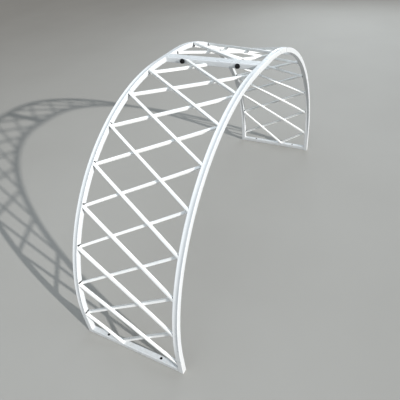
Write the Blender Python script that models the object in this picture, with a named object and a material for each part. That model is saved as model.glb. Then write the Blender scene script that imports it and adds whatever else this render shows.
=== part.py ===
"""A garden arch: two identical welded lattice halves, bolted together at the crown.

Metres, +Z up. X runs across the arch and Y along its span. The origin is on the ground under the crown.

Each half is drawn once in its own place, at -Y. A place on a half is given by three lengths:
x, across; s, along the outer face of the rails from the ground to the seam; depth, inwards from that face.
The lattice skin dips a little between the rails, because its slats are straight bars on a curved frame.
"""

import math
from collections import namedtuple

import bmesh
import bpy
import numpy as np

# Frame
CLEAR_WIDTH = 0.480  # between the rails of a half
TUBE = 0.025  # side of the square tube
TUBE_WALL = 0.0015
TUBE_CORNER = 0.0022  # flat along each long edge of the tube
BEND_RADIUS = 0.904  # outer face of the rolled stretch
LEG_RUN = 0.106  # straight stretch above the ground
CROWN_RUN = 0.083  # straight stretch up to the seam
INNER_SINK = 0.0020  # how far the rolling sank the inner wall of the bend, at its middle
OUTER_SINK = 0.0005  # the same for the outer wall
SINK_RUN = 0.120  # from a straight stretch to where the walls are sunk in full

# Lattice
SLAT_WIDTH = 0.012
LATTICE_NODES = 8  # places on each rail where slats of both layers end
LEFT_NODE = 0.144  # the lowest of them on the left rail, up from the ground
LEFT_TOP = 0.173  # the highest of them on the left rail, back from the seam
RIGHT_NODE = 0.256  # the same two on the right rail
RIGHT_TOP = 0.0995
CORNER_NODE = 0.064  # outer slat's end in the corner over the foot bar
FOOT_MEET = 0.180  # slat ends on the foot bar, from the left rail
CROWN_MEET = 0.218  # inner slat's end on the crown bar, from the left rail
BOLT_CLEAR = 0.012  # outer slat's end on the crown bar, from a bolt's washer

# Holes and crown bolts
PEG_INSET = 0.093  # from a rail
BOLT_INSET = 0.0955  # from a rail
BOLT = 0.012
HOLE_SLACK = 0.001  # a hole for a bolt or peg is wider than the bolt
HEAD_FLATS = 0.018
HEAD_HEIGHT = 0.0075
NUT_HEIGHT = 0.010
BOLT_END = 0.004  # past the nut
WASHER = 0.024
WASHER_THICKNESS = 0.0025

# Clearance between pieces that touch
GAP = 0.0003

# Steps that round shapes are drawn in
ARC_STEPS = 30
SINK_STEPS = 4  # across a sunk wall
SLAT_STEPS = 8
ROUND_STEPS = 32
HARD_EDGE = math.radians(30)  # two faces that meet at less than this are shaded as one

# Colours, roughness and metallic value of the finishes
WHITE_PAINT = ((0.86, 0.87, 0.86), 0.42, 0.0)
BLACK_STEEL = ((0.018, 0.018, 0.020), 0.38, 0.6)

# Worked out from the sizes above
INNER_X = CLEAR_WIDTH / 2
RAIL_X = INNER_X + TUBE / 2
ARC_END = LEG_RUN + BEND_RADIUS * math.pi / 2
HALF_LENGTH = ARC_END + CROWN_RUN
HALF_SPAN = BEND_RADIUS + CROWN_RUN + GAP / 2
LAYER = (TUBE - GAP) / 2  # thickness of a slat
LEFT_PITCH = (HALF_LENGTH - LEFT_TOP - LEFT_NODE) / (LATTICE_NODES - 1)  # from node to node
RIGHT_PITCH = (HALF_LENGTH - RIGHT_TOP - RIGHT_NODE) / (LATTICE_NODES - 1)
SLAT_RUN = 0.75 * (LEFT_PITCH + RIGHT_PITCH)  # how far along the rails a full slat leads
FOOT_TOP = TUBE + GAP
CROWN_FRONT = HALF_LENGTH - TUBE - GAP
CROWN_Z = LEG_RUN + BEND_RADIUS
PEG_X = INNER_X - PEG_INSET
BOLT_X = INNER_X - BOLT_INSET
HOLE = BOLT + HOLE_SLACK
BESIDE_BOLT = WASHER / 2 + BOLT_CLEAR

# The end of a slat's centre line. on_bar: it is cut along a foot or crown bar, and not along a rail
End = namedtuple("End", "x s on_bar")


def clear_scene():
    for obj in list(bpy.data.objects):
        bpy.data.objects.remove(obj, do_unlink=True)


def collection(name, helpers=False):
    made = bpy.data.collections.new(name)
    made.hide_render = helpers
    bpy.context.scene.collection.children.link(made)
    return made


def finish(obj, look):
    """Gives the object a material of its own."""
    colour, roughness, metallic = look
    material = bpy.data.materials.new(obj.name)
    material.use_nodes = True
    shader = material.node_tree.nodes["Principled BSDF"]
    shader.inputs["Base Color"].default_value = (*colour, 1.0)
    shader.inputs["Roughness"].default_value = roughness
    shader.inputs["Metallic"].default_value = metallic
    obj.data.materials.append(material)


def object_of(name, mesh_builder, target):
    """Writes a bmesh into a new object, its normals outwards and its rounded surfaces shaded smooth.

    A face with a hard edge all round stays flat, so that a hole can be cut in it cleanly.
    """
    bmesh.ops.recalc_face_normals(mesh_builder, faces=mesh_builder.faces)
    for edge in mesh_builder.edges:
        edge.smooth = edge.calc_face_angle() < HARD_EDGE
    for face in mesh_builder.faces:
        face.smooth = any(edge.smooth for edge in face.edges)
    mesh = bpy.data.meshes.new(name)
    mesh_builder.to_mesh(mesh)
    mesh_builder.free()
    obj = bpy.data.objects.new(name, mesh)
    target.objects.link(obj)
    return obj


def rail_line(s):
    """Outer face of the rails at length s: y, z and the two parts of the outward normal.

    Upright to LEG_RUN, then a quarter circle of BEND_RADIUS, then level. Both straight stretches go on past
    their ends, so that the chord of a slat near an end can be worked out.
    """
    s = np.asarray(s, float)
    turn = np.clip((s - LEG_RUN) / BEND_RADIUS, 0, math.pi / 2)
    y = -HALF_SPAN + BEND_RADIUS * (1 - np.cos(turn)) + np.maximum(s - ARC_END, 0)
    z = np.minimum(s, LEG_RUN) + BEND_RADIUS * np.sin(turn)
    return y, z, -np.cos(turn), np.sin(turn)


def dip(x, s):
    """How far a straight slat lies inside the curve: its chord's depth midway, less towards the rails."""
    y, z, normal_y, normal_z = rail_line(s)
    below_y, below_z, _, _ = rail_line(s - SLAT_RUN / 2)
    above_y, above_z, _, _ = rail_line(s + SLAT_RUN / 2)
    midway = (y - (below_y + above_y) / 2) * normal_y + (z - (below_z + above_z) / 2) * normal_z
    return midway * (1 - (x / INNER_X) ** 2)


def place(x, s, depth):
    """World places of points given by x, s and depth, as rows."""
    y, z, normal_y, normal_z = rail_line(s)
    return np.stack([x + 0 * y, y - normal_y * depth, z - normal_z * depth], axis=-1)


def tube_section(depth, steps=1):
    """The tube's section at this depth in its wall, long edges flattened: points (across, up, share).

    They go round from the right, over the top. The top and bottom walls are drawn in steps. share is how
    much of a wall's sinking a point takes: 1 in the middle, and less by the square of the distance from it.
    """
    half = TUBE / 2 - depth
    flat = half - TUBE_CORNER + depth * (2 - math.sqrt(2))
    wall = [(flat * (1 - 2 * i / steps), half, 1 - (1 - 2 * i / steps) ** 2) for i in range(steps + 1)]
    upper = [(half, flat, 0), *wall, (-half, flat, 0)]
    return upper + [(-across, -up, share) for across, up, share in upper]


def skin(builder, rings, closed=False):
    """Joins rings of points into a skin, one to the next. closed also joins the last ring to the first."""
    made = [[builder.verts.new(point) for point in ring] for ring in rings]
    for near, far in zip(made, made[1:] + made[:closed]):
        for i in range(len(near)):
            j = (i + 1) % len(near)
            builder.faces.new((near[i], near[j], far[j], far[i]))
    return made


def tube(name, ring_at, stations, target, steps=1):
    """A square tube of its real wall, open at both ends: outer skin, round an end, inner skin, and back.

    ring_at(section, station) places the points of a section along the tube.
    """
    outer, inner = tube_section(0, steps), tube_section(TUBE_WALL, steps)
    rings = [ring_at(outer, station) for station in stations]
    rings += [ring_at(inner, station) for station in reversed(stations)]
    builder = bmesh.new()
    skin(builder, rings, closed=True)
    return object_of(name, builder, target)


def sunk(s):
    """How much of its full sinking a rail's wall has at s: 0 in the straight stretches, 1 in the bend."""
    run = np.clip(min(s - LEG_RUN, ARC_END - s) / SINK_RUN, 0, 1)
    return run * run * (3 - 2 * run)


def rail(name, side, target):
    """A rolled square tube, its outer and inner walls sunk in. side is -1 at the left and 1 at the right."""

    def ring_at(section, s):
        ring = []
        for across, up, share in section:
            inwards = (OUTER_SINK if up > 0 else -INNER_SINK) * share * sunk(s)
            ring.append(place(side * RAIL_X + across, s, TUBE / 2 - up + inwards))
        return ring

    arc = np.linspace(LEG_RUN, ARC_END, ARC_STEPS + 1)
    return tube(name, ring_at, [0.0, *arc, HALF_LENGTH], target, SINK_STEPS)


def cross_bar(name, y, z, target):
    """A straight square tube between the rails."""

    def ring_at(section, x):
        return [(x, y + across, z + up) for across, up, _ in section]

    end = INNER_X - GAP
    return tube(name, ring_at, [-end, end], target)


def on_rail(side, s):
    return End(side * (INNER_X - GAP), s, False)


def slat(name, start, end, depth, target):
    """A thin bar from start to end, straight on the skin, LAYER thick from the given depth inwards.

    Its two edges run beside the line from start to end, half a width away, and each goes on until it meets
    the rail or bar that the slat is welded to, so the slat is cut to fit at both ends.
    """
    along = np.array([end.x - start.x, end.s - start.s])
    along = along / np.linalg.norm(along)
    square = np.array([-along[1], along[0]])
    edges = []
    for side in (-1, 1):
        beside = np.array([start.x, start.s]) + square * side * SLAT_WIDTH / 2
        cuts = []
        for stop in (start, end):
            axis = 1 if stop.on_bar else 0
            reach = ((stop.x, stop.s)[axis] - beside[axis]) / along[axis]
            cuts.append(beside + along * reach)
        edges.append(np.linspace(cuts[0], cuts[1], SLAT_STEPS + 1))
    rings = []
    for low, high in zip(*edges):
        corners = ((low, depth), (high, depth), (high, depth + LAYER), (low, depth + LAYER))
        rings.append([place(x, s, at + dip(x, s)) for (x, s), at in corners])
    builder = bmesh.new()
    made = skin(builder, rings)
    builder.faces.new(made[0])
    builder.faces.new(made[-1])
    return object_of(name, builder, target)


def outer_slats():
    """Ends of the outer slats, lowest first: down from the left rail to the right."""
    yield on_rail(-1, LEFT_NODE), End(FOOT_MEET - INNER_X, FOOT_TOP, True)
    yield on_rail(-1, LEFT_NODE + LEFT_PITCH), on_rail(1, CORNER_NODE)
    for i in range(2, LATTICE_NODES):
        yield on_rail(-1, LEFT_NODE + i * LEFT_PITCH), on_rail(1, RIGHT_NODE + (i - 2) * RIGHT_PITCH)
    last = RIGHT_NODE + (LATTICE_NODES - 2) * RIGHT_PITCH
    yield End(BESIDE_BOLT - BOLT_X, CROWN_FRONT, True), on_rail(1, last)


def inner_slats():
    """Ends of the inner slats, lowest first: up from the left rail to the right."""
    yield End(FOOT_MEET - INNER_X, FOOT_TOP, True), on_rail(1, RIGHT_NODE)
    for i in range(1, LATTICE_NODES):
        yield on_rail(-1, LEFT_NODE + (i - 1) * LEFT_PITCH), on_rail(1, RIGHT_NODE + i * RIGHT_PITCH)
    yield on_rail(-1, HALF_LENGTH - LEFT_TOP), End(CROWN_MEET - INNER_X, CROWN_FRONT, True)


def cylinder(name, diameter, length, turn, centre, target, steps=ROUND_STEPS):
    """A round or many-sided bar centred on a point, its axis +Z turned by the given angles."""
    builder = bmesh.new()
    bmesh.ops.create_cone(
        builder,
        cap_ends=True,
        segments=steps,
        radius1=diameter / 2,
        radius2=diameter / 2,
        depth=length,
    )
    obj = object_of(name, builder, target)
    obj.rotation_euler = turn
    obj.location = centre
    return obj


def combine(obj, other, operation):
    change = obj.modifiers.new(other.name, "BOOLEAN")
    change.operation = operation
    change.solver = "EXACT"
    change.object = other
    other.display_type = "WIRE"
    other.hide_render = True


UPRIGHT = (0, 0, 0)
ALONG_SPAN = (-math.pi / 2, 0, 0)  # +Z turned to +Y


def hexagon(name, flats, height, y, x, target):
    """A six-sided head or nut with its axis along the span, its lower face at y."""
    centre = (x, y + height / 2, CROWN_Z - TUBE / 2)
    return cylinder(name, flats / math.cos(math.pi / 6), height, ALONG_SPAN, centre, target, steps=6)


def half(name, turn, parts, cutters):
    """All welded pieces of one half, on an empty that turns them to their place."""
    frame = bpy.data.objects.new(name, None)
    frame.rotation_euler = (0, 0, turn)
    parts.objects.link(frame)
    pieces = [rail(f"{name}_left_rail", -1, parts), rail(f"{name}_right_rail", 1, parts)]
    foot = cross_bar(f"{name}_foot_bar", -HALF_SPAN + TUBE / 2, TUBE / 2, parts)
    crown = cross_bar(f"{name}_crown_bar", -(GAP + TUBE) / 2, CROWN_Z - TUBE / 2, parts)
    holes = []
    for side in (-1, 1):
        peg = (side * PEG_X, -HALF_SPAN + TUBE / 2, TUBE / 2)
        holes.append(cylinder(f"{name}_peg_hole_{side}", HOLE, 2 * TUBE, UPRIGHT, peg, cutters))
        combine(foot, holes[-1], "DIFFERENCE")
        bolt = (side * BOLT_X, -(GAP + TUBE) / 2, CROWN_Z - TUBE / 2)
        holes.append(cylinder(f"{name}_bolt_hole_{side}", HOLE, 2 * TUBE, ALONG_SPAN, bolt, cutters))
        combine(crown, holes[-1], "DIFFERENCE")
    pieces += [foot, crown]
    for layer, depth, slats in (("outer", 0, outer_slats()), ("inner", LAYER + GAP, inner_slats())):
        for number, (start, end) in enumerate(slats, 1):
            pieces.append(slat(f"{name}_{layer}_slat_{number:02d}", start, end, depth, parts))
    for piece in pieces:
        finish(piece, WHITE_PAINT)
    for obj in pieces + holes:
        obj.parent = frame


def crown_bolt(name, x, parts, cutters):
    """A bolt through both crown bars, its head at the first half, with a washer at each end and a nut."""
    face = TUBE + GAP / 2
    washer_seat = face + GAP
    head_seat = washer_seat + WASHER_THICKNESS + GAP
    nut_end = head_seat + NUT_HEIGHT
    axis_z = CROWN_Z - TUBE / 2
    pieces = [hexagon(f"{name}_bolt", HEAD_FLATS, HEAD_HEIGHT, -head_seat - HEAD_HEIGHT, x, parts)]
    shank_start = -head_seat - HEAD_HEIGHT / 2
    shank_end = nut_end + BOLT_END
    shank_centre = (x, (shank_start + shank_end) / 2, axis_z)
    shank = cylinder(f"{name}_shank", BOLT, shank_end - shank_start, ALONG_SPAN, shank_centre, cutters)
    combine(pieces[0], shank, "UNION")
    nut = hexagon(f"{name}_nut", HEAD_FLATS, NUT_HEIGHT, head_seat, x, parts)
    bores = [(nut, BOLT + 2 * GAP, (x, head_seat, axis_z))]
    for end, side in (("head", -1), ("nut", 1)):
        centre = (x, side * (washer_seat + WASHER_THICKNESS / 2), axis_z)
        ring = cylinder(f"{name}_{end}_washer", WASHER, WASHER_THICKNESS, ALONG_SPAN, centre, parts)
        bores.append((ring, HOLE, centre))
    for piece, bore, centre in bores:
        hole = cylinder(f"{piece.name}_bore", bore, TUBE, ALONG_SPAN, centre, cutters)
        combine(piece, hole, "DIFFERENCE")
        pieces.append(piece)
    for piece in pieces:
        finish(piece, BLACK_STEEL)


def main():
    clear_scene()
    parts = collection("garden_arch")
    cutters = collection("cutters", helpers=True)
    half("half_a", 0, parts, cutters)
    half("half_b", math.pi, parts, cutters)
    crown_bolt("left", -BOLT_X, parts, cutters)
    crown_bolt("right", BOLT_X, parts, cutters)


main()
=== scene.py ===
"""A garden arch of white painted steel: two welded lattice halves, bolted together at the crown.

A place on a half is given by three lengths, as in the solids: x, across; s, along the outer face of the
rails from the ground to the seam; and depth, inwards from that face. Half B is half A turned by 180 degrees
about the upright axis through the crown.
"""

import math
from collections import namedtuple

import bmesh
import bpy
import numpy as np
from mathutils import Matrix


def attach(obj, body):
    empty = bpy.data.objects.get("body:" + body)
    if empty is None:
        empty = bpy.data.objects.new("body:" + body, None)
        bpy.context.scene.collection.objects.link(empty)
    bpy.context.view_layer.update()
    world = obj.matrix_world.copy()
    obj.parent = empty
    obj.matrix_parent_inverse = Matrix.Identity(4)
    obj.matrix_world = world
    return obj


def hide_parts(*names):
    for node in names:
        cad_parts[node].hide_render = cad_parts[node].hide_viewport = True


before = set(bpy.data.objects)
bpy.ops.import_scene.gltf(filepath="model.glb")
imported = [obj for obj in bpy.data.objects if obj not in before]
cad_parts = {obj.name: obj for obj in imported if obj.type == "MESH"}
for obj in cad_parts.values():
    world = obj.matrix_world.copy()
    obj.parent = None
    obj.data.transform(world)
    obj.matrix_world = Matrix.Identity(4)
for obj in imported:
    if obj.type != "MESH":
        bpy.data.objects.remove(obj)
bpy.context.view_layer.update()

# Frame, as in the solids
CLEAR_WIDTH = 0.480  # between the rails of a half
TUBE = 0.025  # side of the square tube
TUBE_WALL = 0.0015
BEND_RADIUS = 0.904  # outer face of the rolled stretch
LEG_RUN = 0.106  # straight stretch above the ground
CROWN_RUN = 0.083  # straight stretch up to the seam
INNER_SINK = 0.0020  # how far the rolling sank the inner wall of the bend, at its middle
SINK_RUN = 0.120  # from a straight stretch to where the walls are sunk in full

# Lattice, as in the solids
SLAT_WIDTH = 0.012
LATTICE_NODES = 8  # evenly spaced places on each rail where slats end
LEFT_NODE = 0.144  # the lowest of them on the left rail, up from the ground
LEFT_TOP = 0.173  # the highest of them on the left rail, back from the seam
RIGHT_NODE = 0.256  # the same two on the right rail
RIGHT_TOP = 0.0995
CORNER_NODE = 0.064  # outer slat's end in the corner over the foot bar
FOOT_MEET = 0.180  # slat ends on the foot bar, from the left rail
CROWN_MEET = 0.218  # inner slat's end on the crown bar, from the left rail
BOLT_CLEAR = 0.012  # outer slat's end on the crown bar, from a bolt's washer

# Holes and crown bolts, as in the solids
PEG_INSET = 0.093  # from a rail
BOLT_INSET = 0.0955  # from a rail
BOLT = 0.012
HOLE = 0.013
HEAD_FLATS = 0.018
HEAD_HEIGHT = 0.0075
NUT_HEIGHT = 0.010
BOLT_END = 0.004  # past the nut
WASHER = 0.024
WASHER_THICKNESS = 0.0025
GAP = 0.0003  # between pieces that touch

# Worked out from the sizes above
INNER_X = CLEAR_WIDTH / 2
RAIL_X = INNER_X + TUBE / 2
ARC_END = LEG_RUN + BEND_RADIUS * math.pi / 2
HALF_LENGTH = ARC_END + CROWN_RUN
HALF_SPAN = BEND_RADIUS + CROWN_RUN + GAP / 2
LAYER = (TUBE - GAP) / 2  # thickness of a slat
OUTER_LAYER = 0.0  # depth of each layer's outer face
INNER_LAYER = LAYER + GAP
LEFT_PITCH = (HALF_LENGTH - LEFT_TOP - LEFT_NODE) / (LATTICE_NODES - 1)  # from node to node
RIGHT_PITCH = (HALF_LENGTH - RIGHT_TOP - RIGHT_NODE) / (LATTICE_NODES - 1)
SLAT_RUN = 0.75 * (LEFT_PITCH + RIGHT_PITCH)  # how far along the rails a full slat leads
FOOT_TOP = TUBE + GAP
CROWN_FRONT = HALF_LENGTH - TUBE - GAP
CROWN_Z = LEG_RUN + BEND_RADIUS
PEG_X = INNER_X - PEG_INSET
BOLT_X = INNER_X - BOLT_INSET
BESIDE_BOLT = WASHER / 2 + BOLT_CLEAR
BOLT_Z = CROWN_Z - TUBE / 2
WASHER_Y = TUBE + GAP / 2 + GAP  # from the seam to a washer
SEAT_Y = WASHER_Y + WASHER_THICKNESS + GAP  # from the seam to a bolt's head or nut

# Finish of the tubes and slats, which the solids lack
OUTER_SINK = 0.0020  # how far the outer wall is sunk: 0.0005 in the solids, and more in the photograph
TUBE_ROUND = 0.0020  # outer radius of the tube's long edges
SLAT_ROUND = 0.0011
HARD_EDGE = math.radians(32)  # faces that meet at more than this keep a hard edge
MERGE_DISTANCE = 1e-6

# Welds. A leg is how far a weld reaches along each of the two walls it joins
WELD_LEG = 0.0032  # at a slat's end
SHARP_CORNER_LEG = 0.86 * WELD_LEG  # the same in the sharp corner of a slanting end
BAR_LEG = 1.1 * WELD_LEG  # at a bar's end
TACK_LEG = 0.0024  # where two slats cross
TACK_RUN = 0.62  # length of a tack, as a share of the crossing
SEAM_LEG = 0.0042  # the open seams
SEAM_OVER = 0.0030  # how far a seam runs on past its slat
FLUSH_LEG = 0.0017  # at a cut end, ground flush with the face
FLUSH_OVER = 0.0012  # how far a flush run lies on the side of the tube
FLUSH_DEPTH = 1.4 * FLUSH_LEG  # below the face that it is ground flush with
FLUSH_SPREAD = 0.9  # how far it reaches across, as a share of its leg
FLUSH_INSET = 0.0006  # from the end of a flush run to the bar's edge
BEAD_INSET = 0.0004  # from the end of a slat's weld to the face
BAR_INSET = TUBE_ROUND * 0.4  # the same for a bar's weld
RIPPLE_RUN = 0.0026  # from one ripple of a weld to the next
RIPPLE = 0.06  # height of the ripples, as a share of the leg
SWAY = 0.08  # slow change of the leg along a weld, as a share of it
BULGE = 0.22  # how far a weld's middle stands out, as a share of its section
ROOT = -0.25  # how far inside the corner a weld's section closes, in legs
WELD_TOE = 0.02  # from a weld's first and last point to the walls, in radians
CROSSING_MARGIN = 0.06  # share of a slat's length, at each end, that has no tack

# Seeds of the welds, which only shift their ripples. Those of slats are steps from slat to slat
OUTER_SEED = 1.7
INNER_SEED = 2.3
CROSSING_SEEDS = 0.7, 1.1
FOOT_SEED = 0.4
CROWN_SEED = 3.1

# Bolts
THREAD_PITCH = 0.00175
THREAD_DEPTH = 0.0009
THREAD_START = 0.0020  # from the plain shank's end to the nut
THREAD_RUN_IN = 0.0001  # from there to the thread
THREAD_TAPER = 0.0008  # length of the chamfer at the bolt's end
THREAD_CHAMFER = 0.0012  # its depth
CHAMFER_CIRCLE = 0.955  # flat circle on a head or nut, as a share of its width over flats
CHAMFER_SLOPE = math.tan(math.radians(30))
HEAD_CHAMFERS = 0.0, 1.0  # shares of a full chamfer, towards the bar and outwards
NUT_CHAMFERS = 0.6, 1.0
WASHER_EDGE = 0.0004

# Colours. Two in one line are mixed by clouds of noise
FRAME_COLOURS = (0.60, 0.615, 0.625), (0.58, 0.60, 0.615)
SLAT_COLOURS = (0.85, 0.85, 0.84), (0.81, 0.815, 0.81)
DUST = (0.42, 0.37, 0.30)
DUST_HEIGHT = 0.10  # how far up the splashes of dust reach
CHIP = (0.13, 0.085, 0.06)
BLACKENED, RUBBED = (0.012, 0.012, 0.014), (0.075, 0.074, 0.072)
MILL_SCALE, RUST = (0.030, 0.029, 0.030), (0.060, 0.036, 0.022)
# The first of these is painted shade of the open gaps at the slats' ends, laid on their bare welds.
GAP_SHADE, SPATTER = (0.010, 0.010, 0.011), (0.045, 0.040, 0.038)
FLOOR_COLOURS = (0.345, 0.335, 0.315), (0.33, 0.32, 0.30)

# Stage, light and camera
FLOOR_REACH = 60.0  # from the middle to each edge
FLOOR_DROP = 0.0004  # below the feet
TO_KEY = (0.900, -0.2455, 0.360)  # fitted to the shadow on the ground in the photograph
KEY_PLACE = (4.0, -2.0, 3.0)  # only for the lamp's symbol: a sun shines the same from anywhere
KEY_POWER = 4.75
KEY_ANGLE = math.radians(1.0)  # how wide it looks from the ground
KEY_COLOUR = (1.0, 0.985, 0.96)
SOFTBOXES = (  # name, y, z, size and power
    ("overhead_softbox", -0.5, 4.5, 5.0, 158.0),
    ("back_softbox", 5.0, 2.6, 3.0, 90.0),
    ("front_softbox", -4.6, 1.4, 2.4, 33.0),
)
SOFTBOX_COLOUR = (0.84, 0.93, 1.0)
SURROUND_COLOUR = (0.86, 0.93, 1.0, 1.0)
SURROUND_POWER = 0.09
CAMERA_PLACE = (0.86183, -1.6685, 1.64894)
CAMERA_HEADING = math.radians(121.236)  # from +X towards +Y
CAMERA_TILT = math.radians(-38.177)
CAMERA_ROLL = math.radians(-6.480)
SENSOR_MM = 36.0
LENS_MM = 35.586

# Steps that shapes are drawn in
TUBE_CORNER_POINTS = 6
WALL_STEPS = 12
SLAT_CORNER_STEPS = 3
SLAT_POINTS = 33
LEG_POINTS = 7
BEND_POINTS = 91
CROWN_POINTS = 6
BAR_POINTS = 25
HEXAGON_STEPS = 72
THREAD_STEPS = 10  # for each turn of the thread
ROUND_STEPS = 48
WELD_POINTS = 4  # across a weld
WELD_STEPS = 6  # the fewest along a weld
FLOOR_POINTS = 9

# The end of a slat's centre line. on_bar: it is cut along a foot or crown bar, and not along a rail
End = namedtuple("End", "x s on_bar")

# One corner of a slat's end. away and beside: directions along the slat and along the wall. number: its
# place among the four. is_open: its weld is near-black, painted shade of the open gap there on bare weld, as
# on the upper corners at the rails
Corner = namedtuple("Corner", "at away beside number is_open")


# Grids and meshes
def grid_faces(rows, columns, rows_wrap, columns_wrap):
    """Quads of a grid of points stored row by row: each joins a point, the next one and the two below."""
    from_row = np.arange(rows - (not rows_wrap))
    from_column = np.arange(columns - (not columns_wrap))
    i, j = np.meshgrid(from_row, from_column, indexing="ij")
    below, beside = (i + 1) % rows, (j + 1) % columns
    quads = [i * columns + j, i * columns + beside, below * columns + beside, below * columns + j]
    return np.stack(quads, axis=-1).reshape(-1, 4)


def shell(points, rows_wrap=False, columns_wrap=True):
    """Points and faces of one surface from its grid of places, shape (rows, columns, 3)."""
    rows, columns, _ = points.shape
    return points.reshape(-1, 3), grid_faces(rows, columns, rows_wrap, columns_wrap)


def capped(rings):
    """The same rings with both ends drawn in to their centres, so that the ends close."""
    ends = [np.broadcast_to(ring.mean(axis=0), ring.shape) for ring in (rings[0], rings[-1])]
    return np.concatenate([ends[0][None], rings, ends[1][None]])


def on_its_half(half, shells):
    """The shells of a piece of half A, or turned for half B by 180 degrees about +Z: x and y change sign."""
    if half == "half_a":
        return shells
    return [(points * [-1.0, -1.0, 1.0], faces) for points, faces in shells]


def made(name, shells, material, nodes=()):
    """One closed, outward-facing piece from its shells, riding on the arch in place of its nodes."""
    counts = np.cumsum([0] + [len(points) for points, _ in shells])
    points = np.concatenate([points for points, _ in shells])
    faces = np.concatenate([faces + start for (_, faces), start in zip(shells, counts)])
    mesh = bpy.data.meshes.new(name)
    mesh.from_pydata(points, [], faces.tolist())
    builder = bmesh.new()
    builder.from_mesh(mesh)
    bmesh.ops.remove_doubles(builder, verts=builder.verts, dist=MERGE_DISTANCE)
    bmesh.ops.recalc_face_normals(builder, faces=builder.faces)
    builder.to_mesh(mesh)
    builder.free()
    obj = bpy.data.objects.new(name, mesh)
    bpy.context.scene.collection.objects.link(obj)
    shade(obj)
    obj.data.materials.append(material)
    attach(obj, "root")
    if nodes:
        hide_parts(*nodes)
    return obj


def shade(obj):
    """Smooth shading, with an edge kept hard where its faces meet at more than HARD_EDGE."""
    obj.data.shade_smooth()
    obj.data.set_sharp_from_angle(angle=HARD_EDGE)


# Shape of the frame
def rail_line(s):
    """Outer face of the rails at length s: y, z and the two parts of its outward normal.

    Upright to LEG_RUN, then a quarter circle, y = R (1 - cos t) and z = R sin t, then level.
    """
    turn = np.clip((s - LEG_RUN) / BEND_RADIUS, 0, math.pi / 2)
    y = -HALF_SPAN + BEND_RADIUS * (1 - np.cos(turn)) + np.maximum(s - ARC_END, 0)
    z = np.minimum(s, LEG_RUN) + BEND_RADIUS * np.sin(turn)
    return y, z, -np.cos(turn), np.sin(turn)


def dip(x, s):
    """How far a straight slat lies inside the curve: its chord's depth midway times 1 - (x / X)^2."""
    y, z, normal_y, normal_z = rail_line(s)
    below_y, below_z, _, _ = rail_line(s - SLAT_RUN / 2)
    above_y, above_z, _, _ = rail_line(s + SLAT_RUN / 2)
    midway = (y - (below_y + above_y) / 2) * normal_y + (z - (below_z + above_z) / 2) * normal_z
    return midway * np.clip(1 - (x / INNER_X) ** 2, 0, 1)


def place(x, s, depth):
    """World places of points given by x, s and depth: the outer face's point less depth times its normal."""
    x, s, depth = np.broadcast_arrays(x, s, depth)
    y, z, normal_y, normal_z = rail_line(s)
    return np.stack([x, y - normal_y * depth, z - normal_z * depth], axis=-1)


def on_skin(x, s, depth):
    """The same for the lattice, which dips between the rails."""
    return place(x, s, depth + dip(x, s))


def sunk(s):
    """How much of its full sinking a rail's wall has at s.

    It is r r (3 - 2 r), with r from 0 at a straight stretch to 1 where the wall is sunk in full.
    """
    run = np.clip(min(s - LEG_RUN, ARC_END - s) / SINK_RUN, 0, 1)
    return run * run * (3 - 2 * run)


# Tubes
def tube_section(half, radius):
    """Outline of a tube with round edges, its top and bottom walls in steps, from the right over the top.

    A third row gives each point's share of a wall's sinking: 1 - (x / X)^2, X where the wall's flat part
    ends.
    """
    turn = np.linspace(0, math.pi / 2, TUBE_CORNER_POINTS)
    flat = half - radius
    wall = np.linspace(flat, -flat, WALL_STEPS + 1)[1:-1]
    corner = np.array([flat + radius * np.cos(turn), flat + radius * np.sin(turn), 0 * turn])
    top = np.array([wall, 0 * wall + half, 1 - (wall / flat) ** 2])
    upper = np.concatenate([corner, top, corner[:, ::-1] * [[-1], [1], [1]]], axis=1)
    return np.concatenate([upper, upper * [[-1], [-1], [1]]], axis=1)


def tube_shell(ring_at, stations):
    """A tube with its wall: the outer section along the stations, then the inner one back to close it."""
    outer = tube_section(TUBE / 2, TUBE_ROUND)
    inner = tube_section(TUBE / 2 - TUBE_WALL, TUBE_ROUND - TUBE_WALL)
    rings = [ring_at(*outer, station) for station in stations]
    rings += [ring_at(*inner, station) for station in stations[::-1]]
    return shell(np.array(rings), rows_wrap=True)


RAIL_STATIONS = np.concatenate([
    np.linspace(0, LEG_RUN, LEG_POINTS)[:-1],
    np.linspace(LEG_RUN, ARC_END, BEND_POINTS),
    np.linspace(ARC_END, HALF_LENGTH, CROWN_POINTS)[1:],
])
BAR_STATIONS = np.linspace(-INNER_X + GAP, INNER_X - GAP, BAR_POINTS)


def rail_shell(side):
    """A rolled tube: the section carried along the rails' line, its outer and inner walls sunk."""

    def ring_at(across, up, share, s):
        inwards = np.where(up > 0, OUTER_SINK, -INNER_SINK) * share * sunk(s)
        return place(side * RAIL_X + across, s, TUBE / 2 - up + inwards)

    return tube_shell(ring_at, RAIL_STATIONS)


def bar_shell(y, z):
    """A straight tube: the section carried along x from rail to rail."""

    def ring_at(across, up, share, x):
        return np.stack([x + 0 * share, y + across, z + up], axis=-1)

    return tube_shell(ring_at, BAR_STATIONS)


def bare_inside(obj, stations, material):
    """Gives the tube's inner skin a material: in the grid of its faces it is the rows of the way back."""
    faces = len(obj.data.polygons)
    row = np.arange(faces) // (faces // (2 * stations))
    inside = (row >= stations) & (row < 2 * stations - 1)
    obj.data.materials.append(material)
    obj.data.polygons.foreach_set("material_index", inside.astype(np.int32))


def drilled(obj, shells):
    """Cuts the holes, given as closed shells, and keeps the cut mesh."""
    cutter = made(obj.name + "_drill", shells, obj.data.materials[0])
    cut = obj.modifiers.new("holes", "BOOLEAN")
    cut.operation = "DIFFERENCE"
    cut.solver = "EXACT"
    cut.object = cutter
    graph = bpy.context.evaluated_depsgraph_get()
    obj.data = bpy.data.meshes.new_from_object(obj.evaluated_get(graph))
    obj.modifiers.clear()
    bpy.data.objects.remove(cutter)
    shade(obj)


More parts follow.
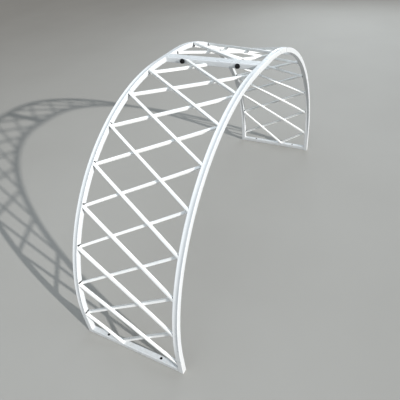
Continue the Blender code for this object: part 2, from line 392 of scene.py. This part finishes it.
# Round solids
def axis_frame(radius, along, turn, start, axis):
    """World places of points in cylinder coordinates about an axis, which is +X, +Y or +Z, as 0, 1 or 2."""
    places = np.empty((*radius.shape, 3))
    places[..., axis] = along
    places[..., (axis + 1) % 3] = radius * np.cos(turn)
    places[..., (axis + 2) % 3] = radius * np.sin(turn)
    return places + np.array(start)


def turned(profile, start, axis):
    """Pairs of radius and distance turned about an axis through start: r cos t, r sin t and distance."""
    radius, along = np.array(profile).T
    turn = np.arange(ROUND_STEPS) / ROUND_STEPS * 2 * math.pi
    radius = radius[:, None] + 0 * turn
    return axis_frame(radius, along[:, None] + 0 * turn, turn + 0 * radius, start, axis)


def drill(x, y, z, axis):
    """A closed cylinder through a bar, longer than the bar is thick."""
    profile = [(HOLE / 2, -TUBE), (HOLE / 2, TUBE)]
    return shell(capped(turned(profile, (x, y, z), axis)))


# Slats
def rail_end(side, s):
    """The end of a slat on a rail, the left one for side -1 and the right one for side 1."""
    return End(side * (INNER_X - GAP), s, False)


def bar_end(x, s):
    """The end of a slat on the foot or crown bar."""
    return End(x, s, True)


def outer_slats():
    """Ends of the outer slats, lowest first: down from the left rail to the right."""
    yield rail_end(-1, LEFT_NODE), bar_end(FOOT_MEET - INNER_X, FOOT_TOP)
    yield rail_end(-1, LEFT_NODE + LEFT_PITCH), rail_end(1, CORNER_NODE)
    for i in range(2, LATTICE_NODES):
        yield rail_end(-1, LEFT_NODE + i * LEFT_PITCH), rail_end(1, RIGHT_NODE + (i - 2) * RIGHT_PITCH)
    last = RIGHT_NODE + (LATTICE_NODES - 2) * RIGHT_PITCH
    yield bar_end(BESIDE_BOLT - BOLT_X, CROWN_FRONT), rail_end(1, last)


def inner_slats():
    """Ends of the inner slats, lowest first: up from the left rail to the right."""
    yield bar_end(FOOT_MEET - INNER_X, FOOT_TOP), rail_end(1, RIGHT_NODE)
    for i in range(1, LATTICE_NODES):
        yield rail_end(-1, LEFT_NODE + (i - 1) * LEFT_PITCH), rail_end(1, RIGHT_NODE + i * RIGHT_PITCH)
    yield rail_end(-1, HALF_LENGTH - LEFT_TOP), bar_end(CROWN_MEET - INNER_X, CROWN_FRONT)


def unit(vector):
    """The vector at length 1."""
    return vector / np.linalg.norm(vector)


def square_to(vector):
    """A vector in x and s turned by 90 degrees: (-s, x)."""
    return np.array([-vector[1], vector[0]])


def slat_edges(start, end):
    """The slat's two long edges in x and s, as (edge, end, 2), and its direction.

    An edge is a line half a width to one side of the centre line, and each of its ends lies on the cut: at
    the same x as the centre line's end on a rail, and at the same s on a bar.
    """
    ends = np.array([start[:2], end[:2]])
    along = unit(ends[1] - ends[0])
    edges = np.empty((2, 2, 2))
    for i, side in enumerate((-1, 1)):
        beside = ends[0] + square_to(along) * side * SLAT_WIDTH / 2
        for j, stop in enumerate((start, end)):
            cut = int(stop.on_bar)
            edges[i, j] = beside + along * (stop[cut] - beside[cut]) / along[cut]
    return edges, along


def rounded_square(half, radius, steps):
    """Outline of a square with round corners: four quarter circles about its corners' centres, in order."""
    quarter = np.arange(4)[:, None] * math.pi / 2
    turn = np.linspace(0, math.pi / 2, steps + 1) + quarter
    corner = (half - radius) * math.sqrt(2)
    middle = quarter + math.pi / 4
    across = corner * np.cos(middle) + radius * np.cos(turn)
    up = corner * np.sin(middle) + radius * np.sin(turn)
    return across.ravel(), up.ravel()


def slat_shell(start, end, depth):
    """A bar: a rounded rectangle in (across, depth), carried from cut to cut between its two edges."""
    edges, _ = slat_edges(start, end)
    across, up = rounded_square(0.5, SLAT_ROUND / SLAT_WIDTH, SLAT_CORNER_STEPS)
    t = np.linspace(0, 1, SLAT_POINTS)[:, None]
    low = edges[0, 0] + (edges[0, 1] - edges[0, 0]) * t
    high = edges[1, 0] + (edges[1, 1] - edges[1, 0]) * t
    share = (across + 0.5)[None, :, None]
    x, s = np.moveaxis(low[:, None] + (high - low)[:, None] * share, -1, 0)
    return shell(capped(on_skin(x, s, depth + (0.5 - up) * LAYER)))


# Welds
def bead(path, wall_a, wall_b, leg, seed):
    """A fillet weld from its path and walls in x, s and depth: a bulged section at each step along the path.

    The section at angle p is leg (a cos p + b sin p) / (cos p + sin p) (1 + BULGE sin 2p), closed by a point
    inside the corner. The leg is (1 - |2t - 1|^5)^0.6 of the full one, t from 0 to 1 along the path, so that
    the weld falls to nothing at both ends. It goes up and down by RIPPLE from step to step, and by
    SWAY sin(5t + 2 seed) along the path.
    """
    start, end = path
    steps = max(WELD_STEPS, round(2 * np.linalg.norm(end - start) / RIPPLE_RUN))
    t = np.linspace(0, 1, steps + 1)
    swell = (1 - np.abs(2 * t - 1) ** 5) ** 0.6
    ripple = 1 + RIPPLE * (-1.0) ** np.arange(steps + 1) + SWAY * np.sin(5 * t + 2 * seed)
    size = leg * swell * ripple
    p = np.linspace(WELD_TOE, math.pi / 2 - WELD_TOE, WELD_POINTS)
    flat = np.cos(p) + np.sin(p)
    bulged = 1 + BULGE * np.sin(2 * p)
    share_a = np.append(np.cos(p) / flat * bulged, ROOT)
    share_b = np.append(np.sin(p) / flat * bulged, ROOT)
    section = share_a[:, None] * wall_a + share_b[:, None] * wall_b
    centre = start + (end - start) * t[:, None]
    rings = capped(centre[:, None] + size[:, None, None] * section)
    return shell(on_skin(rings[..., 0], rings[..., 1], rings[..., 2]))


def wall_along(stop):
    """Direction, in x and s, of the bar or rail that a slat's end is cut along."""
    return np.array([1.0, 0.0]) if stop.on_bar else np.array([0.0, 1.0])


def end_corners(start, end):
    """The four corners where a slat's sides meet what it ends on."""
    edges, along = slat_edges(start, end)
    for j, stop in enumerate((start, end)):
        wall = wall_along(stop)
        for i in range(2):
            beside = wall * np.sign((edges[i, j] - edges[1 - i, j]) @ wall)
            is_open = not stop.on_bar and beside[1] > 0
            yield Corner(edges[i, j], along * (1 - 2 * j), beside, i + 2 * j, is_open)


def corner_bead(corner, depths, leg, seed):
    """A fillet down one side of a slat's end, from one depth to the other."""
    path = [np.array([*corner.at, depth]) for depth in depths]
    walls = np.array([*corner.away, 0.0]), np.array([*corner.beside, 0.0])
    return bead(path, *walls, leg, seed + corner.number)


def flush_run(start, end, over, outside, seed):
    """A weld ground flush: it fills the groove between a cut end and the round edge of the tube over it.

    Its line runs below the face by its own leg with the bulge and ripples, so that it stays under the face.
    """
    face, into = (0.0, 1.0) if outside else (TUBE, -1.0)
    path = [np.array([*(point + over * FLUSH_OVER), face + into * FLUSH_DEPTH]) for point in (start, end)]
    up, across = np.array([0.0, 0.0, -into]), np.array([*over, 0.0]) * FLUSH_SPREAD
    return bead(path, up + across, up - across, FLUSH_LEG, seed)


def slat_end_welds(start, end, depth, seed):
    """Fillets down the sides of each end of a slat, and a flush run in the groove on its open face."""
    depths = (depth + BEAD_INSET, depth + LAYER - BEAD_INSET)
    for corner in end_corners(start, end):
        if not corner.is_open:
            leg = SHARP_CORNER_LEG if corner.away @ corner.beside > 0 else WELD_LEG
            yield corner_bead(corner, depths, leg, seed)
    edges, along = slat_edges(start, end)
    for j, stop in enumerate((start, end)):
        across_wall = wall_along(stop)[::-1]
        over = across_wall * np.sign(-along @ across_wall * (1 - 2 * j))
        yield flush_run(edges[0, j], edges[1, j], over, depth == OUTER_LAYER, seed)


def open_seams(slats, depth):
    """The dark seams over the slats' ends on the rails: painted shade of the open gap there, on thin welds
    bare of paint.

    Each runs on past its slat towards the other layer, so that two in one place join.
    """
    depths = np.clip([depth - SEAM_OVER, depth + LAYER + SEAM_OVER], BEAD_INSET, TUBE - BEAD_INSET)
    for seed, (start, end) in enumerate(slats):
        for corner in end_corners(start, end):
            if corner.is_open:
                yield corner_bead(corner, depths, SEAM_LEG, seed)


def crossing(first, second):
    """Where two slats' centre lines meet, in x and s, with their directions, or None if that is at an end.

    The shares p and q of their lengths solve a + (b - a) p = c + (d - c) q.
    """
    (a, b), (c, d) = [(np.array(start[:2]), np.array(end[:2])) for start, end in (first, second)]
    shares = np.linalg.solve(np.stack([b - a, c - d], axis=-1), c - a)
    if np.any(shares < CROSSING_MARGIN) or np.any(shares > 1 - CROSSING_MARGIN):
        return None
    return a + (b - a) * shares[0], unit(b - a), unit(d - c)


def crossing_tacks(outer, inner, seed):
    """Short fillets along both sides of each slat where it lies across the other one."""
    found = crossing(outer, inner)
    if found is None:
        return
    middle, along_outer, along_inner = found
    layers = (
        (along_outer, along_inner, INNER_LAYER, -1.0),
        (along_inner, along_outer, LAYER, 1.0),
    )
    for own, other, depth, out in layers:
        square = square_to(own)
        reach = SLAT_WIDTH / 2 / abs(square @ other)
        run = own * SLAT_WIDTH / 2 / abs(own @ square_to(other)) * TACK_RUN
        for side in (-1, 1):
            centre = middle + other * reach * side * np.sign(square @ other)
            path = [np.array([*(centre - run), depth]), np.array([*(centre + run), depth])]
            wall_a, wall_b = np.array([0, 0, out]), np.array([*(square * side), 0.0])
            yield bead(path, wall_a, wall_b, TACK_LEG, seed + side)


def bar_end_welds(s_near, s_far, open_side, seed):
    """Round both ends of a bar: a fillet on its open side, and flush runs on its outer and inner faces."""
    s_open = s_far if open_side > 0 else s_near
    for side in (-1.0, 1.0):
        x = side * INNER_X
        path = [np.array([x, s_open, depth]) for depth in (BAR_INSET, TUBE - BAR_INSET)]
        walls = np.array([-side, 0.0, 0.0]), np.array([0.0, open_side, 0.0])
        yield bead(path, *walls, BAR_LEG, seed + side)
        ends = [np.array([x, s]) for s in (s_near + FLUSH_INSET, s_far - FLUSH_INSET)]
        for outside in (True, False):
            yield flush_run(*ends, np.array([side, 0.0]), outside, seed + 2 * side)


def half_welds():
    """Every painted weld of half A, as shells."""
    outer, inner = list(outer_slats()), list(inner_slats())
    for number, (start, end) in enumerate(outer):
        yield from slat_end_welds(start, end, OUTER_LAYER, OUTER_SEED * number)
    for number, (start, end) in enumerate(inner):
        yield from slat_end_welds(start, end, INNER_LAYER, INNER_SEED * number)
    for i, first in enumerate(outer):
        for j, second in enumerate(inner):
            yield from crossing_tacks(first, second, CROSSING_SEEDS[0] * i + CROSSING_SEEDS[1] * j)
    yield from bar_end_welds(0.0, TUBE, 1.0, FOOT_SEED)
    yield from bar_end_welds(HALF_LENGTH - TUBE, HALF_LENGTH, -1.0, CROWN_SEED)


# Crown bolts
HEXAGON_TURN = np.arange(HEXAGON_STEPS) / HEXAGON_STEPS * 2 * math.pi


def hexagon_radius(flats, turn):
    """Distance from a hexagon's centre to its side at an angle.

    It is half the width over flats, divided by the cosine of the angle from the middle of the side.
    """
    from_side = (turn + math.pi / 6) % (math.pi / 3) - math.pi / 6
    return flats / 2 / np.cos(from_side)


def hexagon_rings(height, bore, start, towards, chamfers):
    """A head or nut: rings at the bore, the chamfer's inner circle and the six-sided rim, at each end.

    It begins at start and leads towards +Y or -Y, 1 or -1.
    Outside the inner circle the end face falls away by CHAMFER_SLOPE times the distance from the circle,
    or by the given share of that.
    """
    rim = hexagon_radius(HEAD_FLATS, HEXAGON_TURN)
    circle = HEAD_FLATS / 2 * CHAMFER_CIRCLE
    fall = np.maximum(rim - circle, 0) * CHAMFER_SLOPE
    share = np.array([0.0, 1.0, 1.5, 2.0])[:, None]  # 0 at the bore, 1 at the circle, 2 at the rim
    radius = np.where(share <= 1, bore + (circle - bore) * share, circle + (rim - circle) * (share - 1))
    outside = fall * np.maximum(share - 1, 0)
    along = np.concatenate([chamfers[0] * outside, (height - chamfers[1] * outside)[::-1]])
    radius = np.concatenate([radius, radius[::-1]])
    return axis_frame(radius, towards * along, HEXAGON_TURN + 0 * radius, start, 1)


def thread_rows(start, end):
    """Radius of a screw thread: full radius less the depth times a triangle wave of distance and angle."""
    along = np.linspace(start, end, int((end - start) / THREAD_PITCH * THREAD_STEPS) + 2)[:, None]
    phase = (along / THREAD_PITCH - HEXAGON_TURN / (2 * math.pi)) % 1
    taper = np.clip((end - along) / THREAD_TAPER, 0, 1)
    radius = BOLT / 2 - THREAD_DEPTH * np.abs(2 * phase - 1) - THREAD_CHAMFER * (1 - taper)
    return radius, along + 0 * HEXAGON_TURN


def bolt_shells(x):
    """A bolt: its head, chamfered on the outside, and a shank that ends in thread past the nut."""
    head = hexagon_rings(HEAD_HEIGHT, 0.0, (x, -SEAT_Y, BOLT_Z), -1.0, HEAD_CHAMFERS)
    plain = np.array([-SEAT_Y - HEAD_HEIGHT / 2, SEAT_Y - THREAD_START])[:, None] + 0 * HEXAGON_TURN
    thread, along = thread_rows(SEAT_Y - THREAD_START + THREAD_RUN_IN, SEAT_Y + NUT_HEIGHT + BOLT_END)
    radius = np.concatenate([BOLT / 2 + 0 * plain, thread])
    along = np.concatenate([plain, along])
    shank = axis_frame(radius, along, HEXAGON_TURN + 0 * radius, (x, 0.0, BOLT_Z), 1)
    return [shell(capped(head)), shell(capped(shank))]


def nut_shell(x):
    """A nut: chamfered at both ends, its bore closed into a ring."""
    rings = hexagon_rings(NUT_HEIGHT, BOLT / 2 + GAP, (x, SEAT_Y, BOLT_Z), 1.0, NUT_CHAMFERS)
    return shell(rings, rows_wrap=True)


def washer_shell(x, side):
    """A washer: a rectangle with cut edges turned about the bolt."""
    near, far = WASHER_Y, WASHER_Y + WASHER_THICKNESS
    bore, rim = HOLE / 2, WASHER / 2
    outline = [
        (bore, near),
        (rim - WASHER_EDGE, near),
        (rim, near + WASHER_EDGE),
        (rim, far - WASHER_EDGE),
        (rim - WASHER_EDGE, far),
        (bore + WASHER_EDGE, far),
        (bore, far - WASHER_EDGE),
    ]
    profile = [(radius, side * along) for radius, along in outline]
    return shell(turned(profile, (x, 0.0, BOLT_Z), 1), rows_wrap=True)


# Materials
class Finish:
    """A procedural material, with methods that add its nodes."""

    def __init__(self, name):
        self.material = bpy.data.materials.new(name)
        self.material.use_nodes = True
        self.tree = self.material.node_tree
        self.shader = self.tree.nodes["Principled BSDF"]
        self.places = self.tree.nodes.new("ShaderNodeTexCoord").outputs["Object"]

    def feed(self, socket, value):
        """Links an input to an output socket, or sets it to a number or colour."""
        if isinstance(value, bpy.types.NodeSocket):
            self.tree.links.new(value, socket)
        else:
            socket.default_value = (*value, 1.0) if isinstance(value, tuple) else value

    def add(self, kind, **inputs):
        """A node with its inputs fed by name, where _ stands for a space."""
        node = self.tree.nodes.new(kind)
        for name, value in inputs.items():
            self.feed(node.inputs[name.replace("_", " ").title()], value)
        return node

    def surface(self, colour, roughness, metallic=0.0, relief=None):
        """Feeds the shader, its relief from a bump node, and gives the finished material."""
        self.feed(self.shader.inputs["Base Color"], colour)
        self.feed(self.shader.inputs["Roughness"], roughness)
        self.feed(self.shader.inputs["Metallic"], metallic)
        if relief is not None:
            self.feed(self.shader.inputs["Normal"], relief.outputs["Normal"])
        return self.material

    def noise(self, scale, detail, roughness=0.5):
        """Noise over the object's own places, in bumps per metre."""
        inputs = {"vector": self.places, "scale": scale, "detail": detail, "roughness": roughness}
        return self.add("ShaderNodeTexNoise", **inputs).outputs["Fac"]

    def ramp(self, source, low, high, start=0.0, end=1.0):
        """Maps source from low..high to start..end, held outside."""
        limits = {"from_min": low, "from_max": high, "to_min": start, "to_max": end}
        return self.add("ShaderNodeMapRange", value=source, **limits).outputs["Result"]

    def mixed(self, factor, first, second):
        """Colour between first and second by the factor socket."""
        node = self.tree.nodes.new("ShaderNodeMix")
        node.data_type = "RGBA"
        self.feed(node.inputs["Factor"], factor)
        colours = [socket for socket in node.inputs if socket.type == "RGBA"]
        self.feed(colours[0], first)
        self.feed(colours[1], second)
        return next(socket for socket in node.outputs if socket.type == "RGBA")

    def product(self, first, second):
        """One factor times another."""
        node = self.tree.nodes.new("ShaderNodeMath")
        node.operation = "MULTIPLY"
        self.feed(node.inputs[0], first)
        self.feed(node.inputs[1], second)
        return node.outputs[0]

    def bump(self, height, strength, distance):
        """Relief from a height of 0 to 1, raised by distance in metres."""
        return self.add("ShaderNodeBump", height=height, strength=strength, distance=distance)


def white_paint(name, clean, tired):
    """Gloss outdoor paint: a fine orange peel, faint clouding, splashed dust near the ground, rare chips."""
    paint = Finish(name)
    cloud = paint.ramp(paint.noise(scale=9.0, detail=5.0, roughness=0.6), low=0.35, high=0.7)
    height = paint.add("ShaderNodeSeparateXYZ", vector=paint.places).outputs["Z"]
    near_ground = paint.ramp(height, low=0.0, high=DUST_HEIGHT, start=1.0, end=0.0)
    splash = paint.ramp(paint.noise(scale=70.0, detail=6.0, roughness=0.65), low=0.46, high=0.74, end=0.30)
    dusty = paint.mixed(paint.product(near_ground, splash), paint.mixed(cloud, clean, tired), DUST)
    cells = paint.add("ShaderNodeTexVoronoi", vector=paint.places, scale=38.0).outputs["Distance"]
    spots = paint.ramp(cells, low=0.030, high=0.044, start=1.0, end=0.0)
    patches = paint.ramp(paint.noise(scale=6.5, detail=2.0), low=0.66, high=0.69)
    chips = paint.product(spots, patches)
    gloss = paint.ramp(paint.noise(scale=26.0, detail=4.0), low=0.3, high=0.7, start=0.25, end=0.40)
    peel = paint.bump(paint.noise(scale=620.0, detail=2.0), strength=0.10, distance=0.0004)
    worn = paint.bump(chips, strength=0.5, distance=0.0004)
    worn.invert = True
    paint.feed(worn.inputs["Normal"], peel.outputs["Normal"])
    return paint.surface(paint.mixed(chips, dusty, CHIP), gloss, relief=worn)


def black_steel():
    """Blackened steel fastener: dark, a little cloudy, its finish rubbed thinner in patches."""
    steel = Finish("black_steel")
    rubbed = steel.ramp(steel.noise(scale=260.0, detail=5.0, roughness=0.6), low=0.5, high=0.8, end=0.6)
    gloss = steel.ramp(steel.noise(scale=480.0, detail=3.0), low=0.3, high=0.7, start=0.28, end=0.5)
    grain = steel.bump(steel.noise(scale=1600.0, detail=3.0), strength=0.15, distance=0.0002)
    return steel.surface(steel.mixed(rubbed, BLACKENED, RUBBED), gloss, metallic=0.7, relief=grain)


def bare_steel():
    """Unpainted inside of a tube: dark mill scale with a bloom of rust in patches."""
    steel = Finish("bare_steel")
    rusty = steel.ramp(steel.noise(scale=60.0, detail=5.0, roughness=0.6), low=0.45, high=0.7)
    gloss = steel.ramp(steel.noise(scale=240.0, detail=3.0), low=0.3, high=0.7, start=0.55, end=0.8)
    return steel.surface(steel.mixed(rusty, MILL_SCALE, RUST), gloss, metallic=0.3)


def gap_shade_on_weld():
    """Near-black weld metal that the paint missed, as painted shade of the open seams' gaps, with lighter
    spatter.
    """
    weld = Finish("gap_shade_on_weld")
    spattered = weld.ramp(weld.noise(scale=420.0, detail=4.0, roughness=0.6), low=0.5, high=0.75)
    gloss = weld.ramp(weld.noise(scale=300.0, detail=3.0), low=0.3, high=0.7, start=0.5, end=0.8)
    grain = weld.bump(weld.noise(scale=900.0, detail=3.0), strength=0.4, distance=0.0003)
    return weld.surface(weld.mixed(spattered, GAP_SHADE, SPATTER), gloss, relief=grain)


def pale_floor():
    """Plain pale studio floor, matt, with the faintest clouding."""
    floor = Finish("pale_floor")
    cloud = floor.ramp(floor.noise(scale=1.3, detail=3.0), low=0.3, high=0.7)
    return floor.surface(floor.mixed(cloud, *FLOOR_COLOURS), roughness=0.75)


# The arch
FRAME_PAINT = white_paint("frame_paint", *FRAME_COLOURS)
SLAT_PAINT = white_paint("slat_paint", *SLAT_COLOURS)
BLACK_STEEL = black_steel()
BARE_STEEL = bare_steel()
# The open seams' finish: painted shade of their gaps, on bare weld.
SEAM_SHADE_ON_WELD = gap_shade_on_weld()


def rails(half):
    """The two rails of a half."""
    for side, label in ((-1, "left_rail"), (1, "right_rail")):
        node = f"{half}_{label}"
        rail = made(f"{node}_tube", on_its_half(half, [rail_shell(side)]), FRAME_PAINT, [node])
        bare_inside(rail, len(RAIL_STATIONS), BARE_STEEL)


def bars(half):
    """The foot bar of a half, drilled along +Z, and its crown bar, drilled along +Y."""
    foot = "foot_bar", -HALF_SPAN + TUBE / 2, TUBE / 2, PEG_X, 2
    crown = "crown_bar", -(GAP + TUBE) / 2, BOLT_Z, BOLT_X, 1
    for label, y, z, x, axis in (foot, crown):
        node = f"{half}_{label}"
        bar = made(f"{node}_tube", on_its_half(half, [bar_shell(y, z)]), FRAME_PAINT, [node])
        bare_inside(bar, len(BAR_STATIONS), BARE_STEEL)
        drilled(bar, on_its_half(half, [drill(side * x, y, z, axis) for side in (-1, 1)]))


def lattice(half):
    """The slats of a half, outer layer first, and its welds and open seams."""
    layers = ("outer", OUTER_LAYER, outer_slats()), ("inner", INNER_LAYER, inner_slats())
    for layer, depth, slats in layers:
        for number, (start, end) in enumerate(slats, 1):
            node = f"{half}_{layer}_slat_{number:02d}"
            shells = on_its_half(half, [slat_shell(start, end, depth)])
            made(f"{node}_bar", shells, SLAT_PAINT, [node])
    made(f"{half}_welds", on_its_half(half, list(half_welds())), FRAME_PAINT)
    seams = [*open_seams(outer_slats(), OUTER_LAYER), *open_seams(inner_slats(), INNER_LAYER)]
    made(f"{half}_open_seams", on_its_half(half, seams), SEAM_SHADE_ON_WELD)


def crown_joint(label, x):
    """A crown bolt with its nut and its two washers."""
    made(f"{label}_bolt_detail", bolt_shells(x), BLACK_STEEL, [f"{label}_bolt"])
    made(f"{label}_nut_detail", [nut_shell(x)], BLACK_STEEL, [f"{label}_nut"])
    for end, side in (("head", -1), ("nut", 1)):
        node = f"{label}_{end}_washer"
        made(f"{node}_ring", [washer_shell(x, side)], BLACK_STEEL, [node])


for half in ("half_a", "half_b"):
    rails(half)
    bars(half)
    lattice(half)
crown_joint("left", -BOLT_X)
crown_joint("right", BOLT_X)


# Stage, light and camera
def studio_floor():
    """A flat square of floor just under the feet."""
    side = np.linspace(-FLOOR_REACH, FLOOR_REACH, FLOOR_POINTS)
    x, y = np.meshgrid(side, side, indexing="ij")
    points, faces = shell(np.stack([x, y, 0 * x - FLOOR_DROP], axis=-1), columns_wrap=False)
    mesh = bpy.data.meshes.new("floor")
    mesh.from_pydata(points, [], faces.tolist())
    obj = bpy.data.objects.new("floor", mesh)
    bpy.context.scene.collection.objects.link(obj)
    obj.data.materials.append(pale_floor())


def stood(name, data, right, up, back, at):
    """A lamp or camera in the scene, from its own three directions and its place."""
    obj = bpy.data.objects.new(name, data)
    obj.matrix_world = Matrix([*zip(right, up, back, at), (0, 0, 0, 1)])
    bpy.context.scene.collection.objects.link(obj)
    return obj


def key_light():
    """One low key light from the right and front, where the photograph's light comes from."""
    lamp = bpy.data.lights.new("key", "SUN")
    lamp.energy = KEY_POWER
    lamp.angle = KEY_ANGLE
    lamp.color = KEY_COLOUR
    back = np.array(TO_KEY)
    right = unit(np.cross([0, 0, 1], back))
    stood("key", lamp, right, np.cross(back, right), back, KEY_PLACE)


def softbox(name, y, z, size, power):
    """A square soft box midway across the arch, cooler than the key, that faces the middle of the arch."""
    lamp = bpy.data.lights.new(name, "AREA")
    lamp.shape = "SQUARE"
    lamp.size = size
    lamp.energy = power
    lamp.color = SOFTBOX_COLOUR
    right = (1, 0, 0)
    back = unit(np.array([0.0, y, z - CROWN_Z / 2]))
    stood(name, lamp, right, np.cross(back, right), back, (0.0, y, z))


def soft_surround():
    """A little even light from all round, cooler than the key."""
    world = bpy.data.worlds.new("studio")
    bpy.context.scene.world = world
    world.use_nodes = True
    background = world.node_tree.nodes["Background"]
    background.inputs["Color"].default_value = SURROUND_COLOUR
    background.inputs["Strength"].default_value = SURROUND_POWER


def camera():
    """The photograph's viewpoint, fitted to the arch in it.

    Its level and upright directions are turned by the roll r: level cos r + upright sin r, and
    upright cos r - level sin r.
    """
    data = bpy.data.cameras.new("camera")
    data.sensor_width = SENSOR_MM
    data.lens = LENS_MM
    data.clip_start, data.clip_end = 0.05, 100.0
    level = np.array([math.sin(CAMERA_HEADING), -math.cos(CAMERA_HEADING), 0.0])
    ahead = np.array([math.cos(CAMERA_HEADING), math.sin(CAMERA_HEADING), 0.0])
    forward = ahead * math.cos(CAMERA_TILT) + [0.0, 0.0, math.sin(CAMERA_TILT)]
    upright = np.cross(level, forward)
    right = level * math.cos(CAMERA_ROLL) + upright * math.sin(CAMERA_ROLL)
    up = upright * math.cos(CAMERA_ROLL) - level * math.sin(CAMERA_ROLL)
    bpy.context.scene.camera = stood("camera", data, right, up, -forward, CAMERA_PLACE)


studio_floor()
key_light()
for box in SOFTBOXES:
    softbox(*box)
soft_surround()
camera()
bpy.context.scene.view_settings.view_transform = "Standard"
